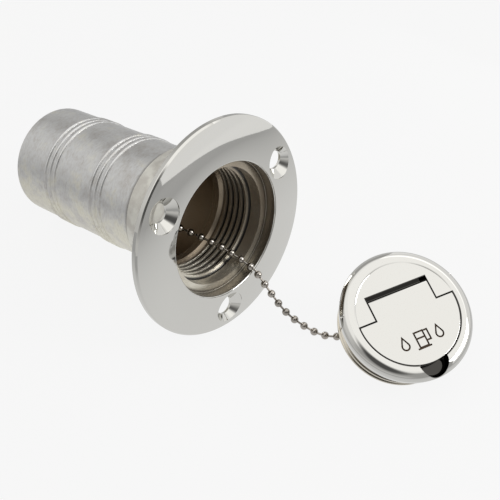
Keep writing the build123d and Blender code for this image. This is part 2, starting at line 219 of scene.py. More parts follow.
class DeckFillStage(bpy.types.PropertyGroup):
    """Stage, lights and camera"""

    floor: bpy.props.FloatVectorProperty(
        name="Floor", description="Colour of the lit table and what is behind it", subtype="COLOR", size=4,
        default=(0.93, 0.93, 0.93, 1), min=0, max=1)
    overhead: bpy.props.FloatProperty(
        name="Overhead Light", description="Brightness of the softbox above the table", default=0.08, min=0)
    key: bpy.props.FloatProperty(
        name="Key Light", description="Brightness of the small light that shines into the neck",
        default=9.0, min=0)
    lens: bpy.props.FloatProperty(
        name="Lens", description="Focal length of the camera in millimetres", default=59.48, min=10)
    azimuth: bpy.props.FloatProperty(
        name="Camera Azimuth", description="Camera's direction round the object", subtype="ANGLE",
        default=math.radians(41.124))
    elevation: bpy.props.FloatProperty(
        name="Camera Elevation", description="Camera's angle above the table", subtype="ANGLE",
        default=math.radians(45.607))
    distance: bpy.props.FloatProperty(
        name="Camera Distance", description="From the camera to the point it looks at", default=0.36109,
        unit="LENGTH", precision=5)


GROUPS = (
    ("deck_fill_chain", DeckFillChainSizes),
    ("deck_fill_colours", DeckFillColours),
    ("deck_fill_stage", DeckFillStage),
)


# ---------------------------------------------------------------- node helpers
def connect(tree, node, inputs):
    """Gives a node its inputs, each a value or an output socket of another node."""
    for key, value in inputs.items():
        socket = node.inputs[key]
        if isinstance(value, bpy.types.NodeSocket):
            tree.links.new(value, socket)
        else:
            socket.default_value = value


def add(tree, kind, inputs=None, **settings):
    """A new node with its settings and its inputs."""
    node = tree.nodes.new(kind)
    for key, value in settings.items():
        setattr(node, key, value)
    connect(tree, node, inputs or {})
    return node


def maths(tree, operation, a, b=0.0, c=0.0):
    return add(tree, "ShaderNodeMath", {0: a, 1: b, 2: c}, operation=operation).outputs[0]


def smooth_step(tree, value, low, high):
    """0 below low and 1 above high, smooth between them."""
    node = add(tree, "ShaderNodeMapRange", {"Value": value, "From Min": low, "From Max": high},
               interpolation_type="SMOOTHSTEP")
    return node.outputs["Result"]


def mix_value(tree, factor, a, b):
    return add(tree, "ShaderNodeMix", {"Factor": factor, "A": a, "B": b}, data_type="FLOAT").outputs[0]


def mix_colour(tree, factor, a, b):
    """The Mix node's colour sockets are its inputs 6 and 7 and its output 2."""
    return add(tree, "ShaderNodeMix", {0: factor, 6: a, 7: b}, data_type="RGBA").outputs[2]


def new_group(name, inputs, outputs):
    """An empty node group with these named sockets, and its input and output nodes."""
    group = bpy.data.node_groups.new(name, "ShaderNodeTree")
    for label, kind, default in inputs:
        socket = group.interface.new_socket(label, in_out="INPUT", socket_type=kind)
        if default is not None:
            socket.default_value = default
    for label, kind in outputs:
        group.interface.new_socket(label, in_out="OUTPUT", socket_type=kind)
    return group, group.nodes.new("NodeGroupInput"), group.nodes.new("NodeGroupOutput")


def use_group(tree, group, inputs):
    return add(tree, "ShaderNodeGroup", inputs, node_tree=group)


def blank_tree(block, output):
    """Node tree of a material or world, cleared down to a new output node, and that node."""
    block.use_nodes = True
    tree = block.node_tree
    tree.nodes.clear()
    return tree, tree.nodes.new(output)


# ---------------------------------------------------------------- shared effects
def built_once(build):
    """Makes a node group the first time that it is asked for, and gives the same one after that."""
    def kept():
        name = build.__name__
        if name not in bpy.data.node_groups:
            build(name)
        return bpy.data.node_groups[name]
    return kept


@built_once
def place_round_axis(name):
    """Turns a place in the piece's own axes into its distance from the axis, height and angle."""
    group, start, end = new_group(
        name, [("Place", "NodeSocketVector", None)],
        [("Radius", "NodeSocketFloat"), ("Height", "NodeSocketFloat"), ("Unrolled", "NodeSocketVector")])
    split = add(group, "ShaderNodeSeparateXYZ", {0: start.outputs["Place"]})
    flat = add(group, "ShaderNodeCombineXYZ", {"X": split.outputs["X"], "Y": split.outputs["Y"]})
    radius = add(group, "ShaderNodeVectorMath", {0: flat.outputs[0]}, operation="LENGTH").outputs["Value"]
    along = add(group, "ShaderNodeVectorMath", {0: flat.outputs[0]}, operation="NORMALIZE").outputs[0]
    turn = add(group, "ShaderNodeSeparateXYZ", {0: along})
    rolled = add(group, "ShaderNodeCombineXYZ",
                 {"X": turn.outputs["X"], "Y": turn.outputs["Y"], "Z": split.outputs["Z"]})
    group.links.new(radius, end.inputs["Radius"])
    group.links.new(split.outputs["Z"], end.inputs["Height"])
    group.links.new(rolled.outputs[0], end.inputs["Unrolled"])


@built_once
def buffed_haze(name):
    """Haze and faint ripple that a buffing wheel leaves on polished steel."""
    group, start, end = new_group(
        name, [("Place", "NodeSocketVector", None), ("Haze", "NodeSocketFloat", 0.03)],
        [("Roughness", "NodeSocketFloat"), ("Tone", "NodeSocketFloat"), ("Height", "NodeSocketFloat")])
    cloud = add(group, "ShaderNodeTexNoise",
                {"Vector": start.outputs["Place"], "Scale": 55.0, "Detail": 3.0, "Roughness": 0.55})
    streak_map = add(group, "ShaderNodeMapping",
                     {"Vector": start.outputs["Place"], "Scale": (500.0, 500.0, 3800.0)})
    streak = add(group, "ShaderNodeTexNoise",
                 {"Vector": streak_map.outputs[0], "Scale": 1.0, "Detail": 2.0})
    both = maths(group, "MULTIPLY_ADD", streak.outputs[0], 0.35,
                 maths(group, "MULTIPLY", cloud.outputs[0], 0.65))
    group.links.new(maths(group, "MULTIPLY", both, start.outputs["Haze"]), end.inputs["Roughness"])
    group.links.new(cloud.outputs[0], end.inputs["Tone"])
    ripple = add(group, "ShaderNodeTexNoise",
                 {"Vector": start.outputs["Place"], "Scale": 120.0, "Detail": 1.0})
    group.links.new(ripple.outputs[0], end.inputs["Height"])


@built_once
def turned_rings(name):
    """Fine rings that a lathe tool leaves, and their glint."""
    group, start, end = new_group(
        name,
        [("Unrolled", "NodeSocketVector", None), ("Radius", "NodeSocketFloat", 0.0),
         ("Spacing", "NodeSocketFloat", 0.0004)],
        [("Height", "NodeSocketFloat"), ("Roughness", "NodeSocketFloat")])
    split = add(group, "ShaderNodeSeparateXYZ", {0: start.outputs["Unrolled"]})
    travel = maths(group, "ADD", split.outputs["Z"], start.outputs["Radius"])
    steps = maths(group, "DIVIDE", travel, start.outputs["Spacing"])
    wobble = add(group, "ShaderNodeTexNoise",
                 {"W": steps, "Scale": 1.0, "Detail": 3.0, "Roughness": 0.7}, noise_dimensions="1D")
    group.links.new(wobble.outputs[0], end.inputs["Height"])
    group.links.new(maths(group, "MULTIPLY", wobble.outputs[0], 0.08), end.inputs["Roughness"])


@built_once
def gap_line(name):
    """Mask of a thin line of painted shade along the gap between the cap and its T-shaped plate."""
    group, start, end = new_group(name, [("Place", "NodeSocketVector", None)], [("Line", "NodeSocketFloat")])
    split = add(group, "ShaderNodeSeparateXYZ", {0: start.outputs["Place"]})
    rounded = use_group(group, place_round_axis(), {"Place": start.outputs["Place"]})
    disc = maths(group, "MAXIMUM", maths(group, "SUBTRACT", rounded.outputs["Radius"], PLATE_R),
                 maths(group, "SUBTRACT", split.outputs["Y"], TAB_FOOT))
    sides = maths(group, "SUBTRACT", maths(group, "ABSOLUTE", split.outputs["X"]), TAB_HALF)
    tab = maths(group, "MAXIMUM", sides, maths(group, "SUBTRACT", split.outputs["Y"], TAB_TOP))
    tab = maths(group, "MAXIMUM", tab, maths(group, "SUBTRACT", -TAB_FOOT, split.outputs["Y"]))
    off = maths(group, "ABSOLUTE", maths(group, "MINIMUM", disc, tab))
    group.links.new(smooth_step(group, off, GAP_LINE + GAP_LINE_SOFT, GAP_LINE), end.inputs["Line"])


# ---------------------------------------------------------------- finishes
def new_material(name):
    """A node material with its shader, and the shader."""
    material = bpy.data.materials.new(name)
    tree, output = blank_tree(material, "ShaderNodeOutputMaterial")
    shader = tree.nodes.new("ShaderNodeBsdfPrincipled")
    tree.links.new(shader.outputs[0], output.inputs["Surface"])
    return material, tree, shader


def own_place(tree, place):
    """Object coordinates turned into a piece's own axes, with its radius and height."""
    origin, turn = place
    where = tree.nodes.new("ShaderNodeTexCoord")
    mapped = add(tree, "ShaderNodeMapping",
                 {"Vector": where.outputs["Object"], "Location": origin, "Rotation": turn.to_euler()},
                 vector_type="TEXTURE")
    rounded = use_group(tree, place_round_axis(), {"Place": mapped.outputs[0]})
    return mapped.outputs[0], rounded


def bump(tree, height, distance):
    return add(tree, "ShaderNodeBump", {"Height": height, "Distance": distance, "Strength": 1.0}).outputs[0]


def flange_finish(colours):
    """Polished face, turned throat and satin back of the deck flange, with painted shade in the throat: in its
    thread roots, on its seat wall, deep in the neck and over one side.
    """
    material, tree, shader = new_material("flange_steel")
    place, rounded = own_place(tree, neck_place())
    radius, height = rounded.outputs["Radius"], rounded.outputs["Height"]
    polish = use_group(tree, buffed_haze(), {"Place": place, "Haze": 0.014})
    rings = use_group(tree, turned_rings(), {"Unrolled": rounded.outputs["Unrolled"], "Radius": radius,
                                             "Spacing": 0.35 * MM})
    in_throat = maths(tree, "MULTIPLY", smooth_step(tree, radius, *THROAT_RIM_R),
                      smooth_step(tree, height, *THROAT_RIM_Z))
    behind = maths(tree, "MULTIPLY", smooth_step(tree, radius, *FLANGE_BACK_R),
                   smooth_step(tree, height, *FLANGE_BACK_Z))
    outside = maths(tree, "MULTIPLY", smooth_step(tree, radius, *COLLAR_R),
                    smooth_step(tree, height, *COLLAR_Z))
    back = maths(tree, "MAXIMUM", behind, outside)
    grain = add(tree, "ShaderNodeTexNoise", {"Vector": place, "Scale": 1400.0, "Detail": 2.0})
    mottle = add(tree, "ShaderNodeTexNoise", {"Vector": place, "Scale": 160.0, "Detail": 4.0})
    face_colour = mix_colour(tree, maths(tree, "MULTIPLY", polish.outputs["Tone"], 0.12),
                             tuple(colours.mirror), tuple(colours.throat))
    threads = maths(tree, "MULTIPLY", smooth_step(tree, height, *NECK_THREAD_START_Z),
                    smooth_step(tree, height, *NECK_THREAD_END_Z))
    # Painted shade in the thread roots of the neck.
    root_shade = maths(tree, "MULTIPLY", threads, smooth_step(tree, radius, *NECK_ROOT_R))
    # Painted shade on the seat wall of the throat.
    seat_wall_shade = smooth_step(tree, radius, *SEAT_WALL_R)
    split = add(tree, "ShaderNodeSeparateXYZ", {0: rounded.outputs["Unrolled"]})
    # Painted shade: brown darkening over one side of the throat.
    across = maths(tree, "SUBTRACT", maths(tree, "MULTIPLY", split.outputs["X"], 0.75),
                   maths(tree, "MULTIPLY", split.outputs["Y"], 0.65))
    shading = smooth_step(tree, across, 0.75, -0.10)
    # Painted shade deep in the neck, past the end of the thread.
    deep = smooth_step(tree, height, *DEEP_SHADE_Z)
    stain = smooth_step(tree, polish.outputs["Tone"], 0.40, 0.70)
    throat_colour = mix_colour(tree, maths(tree, "MULTIPLY", stain, 0.45), tuple(colours.throat),
                               tuple(colours.stained))
    throat_colour = mix_colour(tree, maths(tree, "MULTIPLY", shading, 0.75), throat_colour,
                               tuple(colours.stained))
    throat_colour = mix_colour(tree, maths(tree, "MULTIPLY", seat_wall_shade, 0.7), throat_colour, tuple(colours.grime))
    throat_colour = mix_colour(tree, deep, throat_colour, tuple(colours.stained))
    throat_colour = mix_colour(tree, root_shade, throat_colour, tuple(colours.soot))
    colour = mix_colour(tree, in_throat, face_colour, throat_colour)
    back_colour = mix_colour(tree, mottle.outputs[0], tuple(colours.satin), tuple(colours.satin_warm))
    worn = maths(tree, "MULTIPLY", smooth_step(tree, mottle.outputs[0], 0.62, 0.38), 0.32)
    back_colour = mix_colour(tree, worn, back_colour, tuple(colours.stained))
    colour = mix_colour(tree, back, colour, back_colour)
    face_rough = maths(tree, "ADD", polish.outputs["Roughness"], 0.03)
    throat_rough = maths(tree, "ADD", rings.outputs["Roughness"], 0.20)
    rough = mix_value(tree, in_throat, face_rough, throat_rough)
    rough = mix_value(tree, back, rough, maths(tree, "MULTIPLY_ADD", mottle.outputs[0], 0.14, 0.30))
    relief = mix_value(tree, in_throat, maths(tree, "MULTIPLY", polish.outputs["Height"], 0.25),
                       maths(tree, "MULTIPLY", rings.outputs["Height"], 0.5))
    relief = mix_value(tree, back, relief, maths(tree, "MULTIPLY", grain.outputs[0], 4.0))
    connect(tree, shader, {"Base Color": colour, "Roughness": rough, "Normal": bump(tree, relief, 0.01 * MM),
                           "Metallic": mix_value(tree, in_throat, 1.0, 0.75)})
    return material


def tube_finish(colours):
    """Satin hose tube: fine grain, cloudy warm patches with painted warm light on its lower side, faint scratches
    round it, painted shade at the collar step and inside the bore.
    """
    material, tree, shader = new_material("tube_steel")
    place, rounded = own_place(tree, neck_place())
    cloud = add(tree, "ShaderNodeTexNoise",
                {"Vector": place, "Scale": 110.0, "Detail": 8.0, "Roughness": 0.72})
    grain = add(tree, "ShaderNodeTexNoise", {"Vector": place, "Scale": 1500.0, "Detail": 2.0})
    around = add(tree, "ShaderNodeMapping",
                 {"Vector": rounded.outputs["Unrolled"], "Scale": (14.0, 14.0, 1300.0)})
    streak = add(tree, "ShaderNodeTexNoise", {"Vector": around.outputs[0], "Scale": 1.0, "Detail": 3.0})
    # Painted shade inside the bore of the tube.
    bore_shade = smooth_step(tree, rounded.outputs["Radius"], *TUBE_BORE_R)
    split = add(tree, "ShaderNodeSeparateXYZ", {0: rounded.outputs["Unrolled"]})
    # Painted light: the lower side of the tube takes more of the warm tone, as if lit from the table below; the
    # rest of the warm patches are random.
    under = smooth_step(tree, split.outputs["X"], -0.75, 0.45)
    warm_patch_and_underside_light = smooth_step(tree, maths(tree, "MULTIPLY_ADD", under, 0.30, cloud.outputs[0]), 0.50, 0.80)
    colour = mix_colour(tree, warm_patch_and_underside_light, tuple(colours.satin), tuple(colours.satin_warm))
    dull = maths(tree, "MULTIPLY_ADD", smooth_step(tree, streak.outputs[0], 0.35, 0.80), 0.6,
                 maths(tree, "MULTIPLY", smooth_step(tree, cloud.outputs[0], 0.55, 0.32), 0.6))
    colour = mix_colour(tree, maths(tree, "MULTIPLY", dull, 0.38), colour, tuple(colours.stained))
    # Painted shade: dark line on the tube at the foot of the collar's step.
    collar_step_shade = smooth_step(tree, rounded.outputs["Height"], *COLLAR_STEP_Z)
    colour = mix_colour(tree, maths(tree, "MULTIPLY", collar_step_shade, 0.65), colour, tuple(colours.grime))
    colour = mix_colour(tree, bore_shade, colour, tuple(colours.stained))
    rough = maths(tree, "MULTIPLY_ADD", cloud.outputs[0], 0.30, 0.16)
    rough = maths(tree, "MULTIPLY_ADD", streak.outputs[0], 0.06, rough)
    relief = maths(tree, "MULTIPLY_ADD", streak.outputs[0], 0.7,
                   maths(tree, "MULTIPLY", grain.outputs[0], 1.6))
    connect(tree, shader, {"Base Color": colour, "Roughness": rough, "Normal": bump(tree, relief, 0.03 * MM),
                           "Metallic": 1.0})
    return material


def cap_finish(colours):
    """Polished head, turned thread and hollow of the cap, with painted shade in the thread roots, on the skirt
    under the head, in the finger notch and pocket, and along the gap round the plate.
    """
    material, tree, shader = new_material("cap_steel")
    place, rounded = own_place(tree, cap_place())
    radius, height = rounded.outputs["Radius"], rounded.outputs["Height"]
    polish = use_group(tree, buffed_haze(), {"Place": place, "Haze": 0.014})
    rings = use_group(tree, turned_rings(), {"Unrolled": rounded.outputs["Unrolled"], "Radius": radius,
                                             "Spacing": 0.3 * MM})
    below = smooth_step(tree, height, *CAP_UNDERSIDE_Z)
    threads = maths(tree, "MULTIPLY", smooth_step(tree, height, *CAP_THREAD_START_Z),
                    smooth_step(tree, height, *CAP_THREAD_END_Z))
    # Painted shade in the thread roots of the cap.
    root_shade = maths(tree, "MULTIPLY", threads, smooth_step(tree, radius, *CAP_ROOT_R))
    to_notch = add(tree, "ShaderNodeVectorMath", {0: place, 1: NOTCH_PLACE}, operation="SUBTRACT")
    notch = use_group(tree, place_round_axis(), {"Place": to_notch.outputs[0]})
    in_notch = maths(tree, "MULTIPLY", smooth_step(tree, notch.outputs["Radius"], *NOTCH_R),
                     smooth_step(tree, height, *NOTCH_Z))
    in_recess = maths(tree, "MULTIPLY", smooth_step(tree, radius, *RECESS_R),
                      smooth_step(tree, height, *RECESS_Z))
    # Painted shade in the finger notch and in the pocket under the plate.
    pocket_shade = maths(tree, "MULTIPLY", maths(tree, "MAXIMUM", in_notch, in_recess),
                  smooth_step(tree, height, *POCKET_FLOOR_Z))
    # Painted shade on the skirt under the head.
    skirt_shade = maths(tree, "MULTIPLY", below, smooth_step(tree, height, *SKIRT_END_Z))
    skirt_shade = maths(tree, "MULTIPLY", skirt_shade, smooth_step(tree, radius, *SKIRT_R))
    turned = mix_colour(tree, 0.4, tuple(colours.throat), tuple(colours.stained))
    colour = mix_colour(tree, below, tuple(colours.mirror), turned)
    colour = mix_colour(tree, skirt_shade, colour, tuple(colours.soot))
    colour = mix_colour(tree, root_shade, colour, tuple(colours.grime))
    line = use_group(tree, gap_line(), {"Place": place})
    # Painted shade along the gap round the plate.
    pocket_shade = maths(tree, "MAXIMUM", pocket_shade, maths(tree, "MULTIPLY", line.outputs["Line"],
                                               smooth_step(tree, height, *GAP_FLOOR_Z)))
    colour = mix_colour(tree, pocket_shade, colour, tuple(colours.soot))
    rough = mix_value(tree, below, maths(tree, "ADD", polish.outputs["Roughness"], 0.035),
                      maths(tree, "ADD", rings.outputs["Roughness"], 0.09))
    relief = mix_value(tree, below, maths(tree, "MULTIPLY", polish.outputs["Height"], 0.25),
                       maths(tree, "MULTIPLY", rings.outputs["Height"], 0.5))
    connect(tree, shader, {"Base Color": colour, "Roughness": rough, "Normal": bump(tree, relief, 0.01 * MM),
                           "Metallic": 1.0})
    return material


def plate_finish(colours):
    """Polished handle plate with dark oxide in its engraving, and painted shade on its edge and along the gap
    round it.
    """
    material, tree, shader = new_material("plate_steel")
    place, rounded = own_place(tree, cap_place())
    polish = use_group(tree, buffed_haze(), {"Place": place, "Haze": 0.014})
    radius, height = rounded.outputs["Radius"], rounded.outputs["Height"]
    split = add(tree, "ShaderNodeSeparateXYZ", {0: place})
    sunk = maths(tree, "MULTIPLY", smooth_step(tree, height, *ENGRAVING_TOP_Z),
                 smooth_step(tree, height, *ENGRAVING_FLOOR_Z))
    marked = maths(tree, "MULTIPLY", smooth_step(tree, split.outputs["Y"], *ENGRAVING_Y),
                   smooth_step(tree, radius, *ENGRAVING_R))
    engraved = maths(tree, "MULTIPLY", sunk, marked)
    # Painted shade on the plate's edge, down in the gap.
    edge_shade = maths(tree, "MULTIPLY", smooth_step(tree, height, *PLATE_EDGE_TOP_Z),
                 smooth_step(tree, height, *PLATE_EDGE_FOOT_Z))
    # Painted shade along the gap round the plate.
    line = use_group(tree, gap_line(), {"Place": place})
    edge_shade = maths(tree, "MAXIMUM", edge_shade, maths(tree, "MULTIPLY", line.outputs["Line"],
                                             smooth_step(tree, height, *GAP_FLOOR_Z)))
    colour = mix_colour(tree, edge_shade, tuple(colours.mirror), tuple(colours.soot))
    colour = mix_colour(tree, engraved, colour, tuple(colours.oxide))
    rough = mix_value(tree, engraved, maths(tree, "ADD", polish.outputs["Roughness"], 0.035), 0.5)
    connect(tree, shader, {"Base Color": colour, "Roughness": rough, "Metallic": 1.0,
                           "Normal": bump(tree, polish.outputs["Height"], 0.0025 * MM)})
    return material


def plated_finish(name, colour, roughness):
    """Plating or plain metal of this colour, with a little uneven haze."""
    material, tree, shader = new_material(name)
    where = tree.nodes.new("ShaderNodeTexCoord")
    polish = use_group(tree, buffed_haze(), {"Place": where.outputs["Object"], "Haze": 0.04})
    dulled = tuple(0.82 * c for c in colour[:3]) + (1.0,)
    tone = mix_colour(tree, smooth_step(tree, polish.outputs["Tone"], 0.4, 0.65), tuple(colour), dulled)
    rough = maths(tree, "ADD", polish.outputs["Roughness"], roughness)
    connect(tree, shader, {"Base Color": tone, "Roughness": rough, "Metallic": 1.0,
                           "Normal": bump(tree, polish.outputs["Height"], 0.004 * MM)})
    return material


def rubber_finish(colours):
    """Black rubber with a fine moulded skin."""
    material, tree, shader = new_material("seal_rubber")
    where = tree.nodes.new("ShaderNodeTexCoord")
    skin = add(tree, "ShaderNodeTexNoise", {"Vector": where.outputs["Object"], "Scale": 900.0, "Detail": 3.0})
    dusty = tuple(2.4 * c for c in colours.rubber[:3]) + (1.0,)
    connect(tree, shader, {"Base Color": mix_colour(tree, skin.outputs[0], tuple(colours.rubber), dusty),
                           "Roughness": maths(tree, "MULTIPLY_ADD", skin.outputs[0], 0.2, 0.35),
                           "Normal": bump(tree, skin.outputs[0], 0.02 * MM)})
    return material


def dress(node, material):
    """Gives a solid of the frame its finish."""
    piece = frame["nodes"][node]
    piece.data.materials.clear()
    piece.data.materials.append(material)


# ---------------------------------------------------------------- ball chain
def route_line(points):
    """Places along the smooth line that a route's control points give."""
    curve = bpy.data.curves.new("route", "CURVE")
    curve.dimensions = "3D"
    spline = curve.splines.new("NURBS")
    spline.points.add(len(points) - 1)
    for point, place in zip(spline.points, points):
        point.co = (*place, 1.0)
    spline.order_u = 3
    spline.use_endpoint_u = True
    spline.resolution_u = 12
    carrier = bpy.data.objects.new("route", curve)
    mesh = bpy.data.meshes.new_from_object(carrier)
    line = [v.co.copy() for v in mesh.vertices]
    bpy.data.meshes.remove(mesh)
    bpy.data.objects.remove(carrier)
    bpy.data.curves.remove(curve)
    return line


def line_length(line):
    return sum((b - a).length for a, b in zip(line, line[1:]))


def ball_chain_tree():
    """Geometry nodes: hollow balls at an even pitch along a line, on a thin wire."""
    tree = bpy.data.node_groups.new("ball_chain", "GeometryNodeTree")
    face = tree.interface
    face.new_socket("Geometry", in_out="INPUT", socket_type="NodeSocketGeometry")
    for label in ("Bead Diameter", "Wire Diameter", "Hole Diameter", "Start Room", "End Room"):
        face.new_socket(label, in_out="INPUT", socket_type="NodeSocketFloat")
    face.new_socket("Bead Count", in_out="INPUT", socket_type="NodeSocketInt")
    face.new_socket("Material", in_out="INPUT", socket_type="NodeSocketMaterial")
    face.new_socket("Geometry", in_out="OUTPUT", socket_type="NodeSocketGeometry")
    start = tree.nodes.new("NodeGroupInput").outputs
    end = tree.nodes.new("NodeGroupOutput")
    line = add(tree, "GeometryNodeMeshToCurve", {"Mesh": start["Geometry"]}).outputs[0]
    length = add(tree, "GeometryNodeCurveLength", {0: line}).outputs[0]
    trimmed = add(tree, "GeometryNodeTrimCurve", {"Curve": line}, mode="LENGTH")
    tree.links.new(start["Start Room"], trimmed.inputs[4])
    tree.links.new(maths(tree, "SUBTRACT", length, start["End Room"]), trimmed.inputs[5])
    spots = add(tree, "GeometryNodeCurveToPoints",
                {"Curve": trimmed.outputs[0], "Count": start["Bead Count"]}, mode="COUNT")

    ball_r = maths(tree, "MULTIPLY", start["Bead Diameter"], 0.5)
    hole_r = maths(tree, "MULTIPLY", start["Hole Diameter"], 0.5)
    reach = maths(tree, "ARCCOSINE", maths(tree, "DIVIDE", hole_r, ball_r))
    stick = add(tree, "GeometryNodeCurvePrimitiveLine", {"Start": (0, 0, -1), "End": (0, 0, 1)})
    rings = add(tree, "GeometryNodeResampleCurve", {"Curve": stick.outputs[0], "Count": 17}, mode="COUNT")
    height = add(tree, "ShaderNodeSeparateXYZ", {0: tree.nodes.new("GeometryNodeInputPosition").outputs[0]})
    angle = maths(tree, "MULTIPLY", height.outputs["Z"], reach)
    radius = maths(tree, "MULTIPLY", maths(tree, "COSINE", angle), ball_r)
    rise = maths(tree, "MULTIPLY", maths(tree, "SINE", angle), ball_r)
    kept = add(tree, "GeometryNodeStoreNamedAttribute",
               {"Geometry": rings.outputs[0], "Name": "ring_radius", "Value": radius},
               data_type="FLOAT", domain="POINT")
    target = add(tree, "ShaderNodeCombineXYZ", {"Z": rise})
    shaped = add(tree, "GeometryNodeSetPosition",
                 {"Geometry": kept.outputs[0], "Position": target.outputs[0]})
    ring_radius = add(tree, "GeometryNodeInputNamedAttribute", {"Name": "ring_radius"}, data_type="FLOAT")
    unit = add(tree, "GeometryNodeCurvePrimitiveCircle", {"Resolution": 28, "Radius": 1.0})
    ball = add(tree, "GeometryNodeCurveToMesh",
               {"Curve": shaped.outputs[0], "Profile Curve": unit.outputs[0], "Scale": ring_radius.outputs[0],
                "Fill Caps": True})
    balls = add(tree, "GeometryNodeInstanceOnPoints",
                {"Points": spots.outputs["Points"], "Instance": ball.outputs[0],
                 "Rotation": spots.outputs["Rotation"]})

    section = add(tree, "GeometryNodeCurvePrimitiveCircle",
                  {"Resolution": 10, "Radius": maths(tree, "MULTIPLY", start["Wire Diameter"], 0.5)})
    wire = add(tree, "GeometryNodeCurveToMesh",
               {"Curve": line, "Profile Curve": section.outputs[0], "Fill Caps": True})
    both = tree.nodes.new("GeometryNodeJoinGeometry")
    tree.links.new(wire.outputs[0], both.inputs[0])
    tree.links.new(balls.outputs[0], both.inputs[0])
    smooth = add(tree, "GeometryNodeSetShadeSmooth", {0: both.outputs[0]})
    real = add(tree, "GeometryNodeRealizeInstances", {0: smooth.outputs[0]})
    painted = add(tree, "GeometryNodeSetMaterial",
                  {"Geometry": real.outputs[0], "Material": start["Material"]})
    tree.links.new(painted.outputs[0], end.inputs[0])
    return tree


def chain_piece(name, line, tree, settings):
    """One stretch of ball chain along a line, as a plain mesh."""
    path = bpy.data.meshes.new(name + "_path")
    path.from_pydata(line, [(i, i + 1) for i in range(len(line) - 1)], [])
    maker = bpy.data.objects.new(name + "_path", path)
    bpy.context.scene.collection.objects.link(maker)
    modifier = maker.modifiers.new("ball_chain", "NODES")
    modifier.node_group = tree
    sockets = {s.name: s.identifier for s in tree.interface.items_tree if s.in_out == "INPUT"}
    for key, value in settings.items():
        modifier[sockets[key]] = value
    ready = maker.evaluated_get(bpy.context.evaluated_depsgraph_get())
    mesh = bpy.data.meshes.new_from_object(ready)
    mesh.name = name
    bpy.data.objects.remove(maker)
    bpy.data.meshes.remove(path)
    piece = bpy.data.objects.new(name, mesh)
    bpy.context.scene.collection.objects.link(piece)
    return piece


# ---------------------------------------------------------------- stage
def lit_floor_material(stage):
    """Pale table, lit from within; what polished steel sees of it fades with distance."""
    material = bpy.data.materials.new("lit_table")
    tree, output = blank_tree(material, "ShaderNodeOutputMaterial")
    where = tree.nodes.new("ShaderNodeTexCoord")
    middle = add(tree, "ShaderNodeMapping",
                 {"Vector": where.outputs["Object"], "Location": (-0.02, -0.02, 0)})
    away = add(tree, "ShaderNodeVectorMath", {0: middle.outputs[0]}, operation="LENGTH").outputs["Value"]
    fall = add(tree, "ShaderNodeMapRange",
               {"Value": away, "From Min": 0.06, "From Max": 0.32,
                "To Min": TABLE_NEAR, "To Max": TABLE_AWAY})
    seen = add(tree, "ShaderNodeEmission", {"Color": tuple(stage.floor), "Strength": TABLE_SEEN})
    mirrored = add(tree, "ShaderNodeEmission", {"Color": tuple(stage.floor), "Strength": fall.outputs[0]})
    paint = add(tree, "ShaderNodeBsdfDiffuse", {"Color": (0.04, 0.04, 0.04, 1)})
    ray = tree.nodes.new("ShaderNodeLightPath")
    glow = add(tree, "ShaderNodeMixShader",
               {0: ray.outputs["Is Glossy Ray"], 1: seen.outputs[0], 2: mirrored.outputs[0]})
    whole = add(tree, "ShaderNodeAddShader", {0: glow.outputs[0], 1: paint.outputs[0]})
    tree.links.new(whole.outputs[0], output.inputs["Surface"])
    return material


def area_light(name, place, aim, size, brightness, colour=(1, 1, 1)):
    """A soft light of this brightness, facing the point it aims at."""
    lamp = bpy.data.lights.new(name, "AREA")
    lamp.shape = "RECTANGLE"
    lamp.size, lamp.size_y = size
    lamp.energy = brightness * math.pi * size[0] * size[1]
    lamp.color = colour
    light = bpy.data.objects.new(name, lamp)
    light.location = place
    light.rotation_euler = (Vector(aim) - Vector(place)).to_track_quat("-Z", "Y").to_euler()
    light.visible_camera = False
    bpy.context.scene.collection.objects.link(light)


def facing(tree, direction, towards, wide, narrow):
    """1 for directions within the narrow angle of this one, 0 beyond the wide angle."""
    dot = add(tree, "ShaderNodeVectorMath", {0: direction, 1: Vector(towards).normalized()},
              operation="DOT_PRODUCT").outputs["Value"]
    return smooth_step(tree, dot, math.cos(math.radians(wide)), math.cos(math.radians(narrow)))


def studio_world(stage):
    """Pale to the eye; to polished metal a light tent with a dark gap where the camera stands."""
    world = bpy.data.worlds.new("studio")
    tree, output = blank_tree(world, "ShaderNodeOutputWorld")
    direction = tree.nodes.new("ShaderNodeTexCoord").outputs["Generated"]
    gap = facing(tree, direction, towards=(0.46, -0.53, 0.71), wide=30, narrow=12)
    left = facing(tree, direction, towards=(-0.70, -0.53, 0.48), wide=50, narrow=15)
    card_side = facing(tree, direction, towards=(0.75, 0.66, 0.0), wide=78, narrow=60)
    height = add(tree, "ShaderNodeSeparateXYZ", {0: direction}).outputs["Z"]
    low = maths(tree, "MULTIPLY", smooth_step(tree, height, 0.32, 0.12),
                maths(tree, "SUBTRACT", 1.0, card_side))
    top = smooth_step(tree, height, 0.58, 0.78)
    tent = mix_value(tree, left, TENT_SIDES, TENT_LEFT)
    for mask, brightness in ((low, TENT_LOW), (top, TENT_TOP), (gap, TENT_GAP)):
        tent = mix_value(tree, mask, tent, brightness)
    dim = add(tree, "ShaderNodeBackground", {"Color": (1.0, 0.992, 0.975, 1), "Strength": tent})
    pale = add(tree, "ShaderNodeBackground", {"Color": tuple(stage.floor), "Strength": 1.0})
    ray = tree.nodes.new("ShaderNodeLightPath")
    both = add(tree, "ShaderNodeMixShader",
               {0: ray.outputs["Is Camera Ray"], 1: dim.outputs[0], 2: pale.outputs[0]})
    tree.links.new(both.outputs[0], output.inputs["Surface"])
    return world


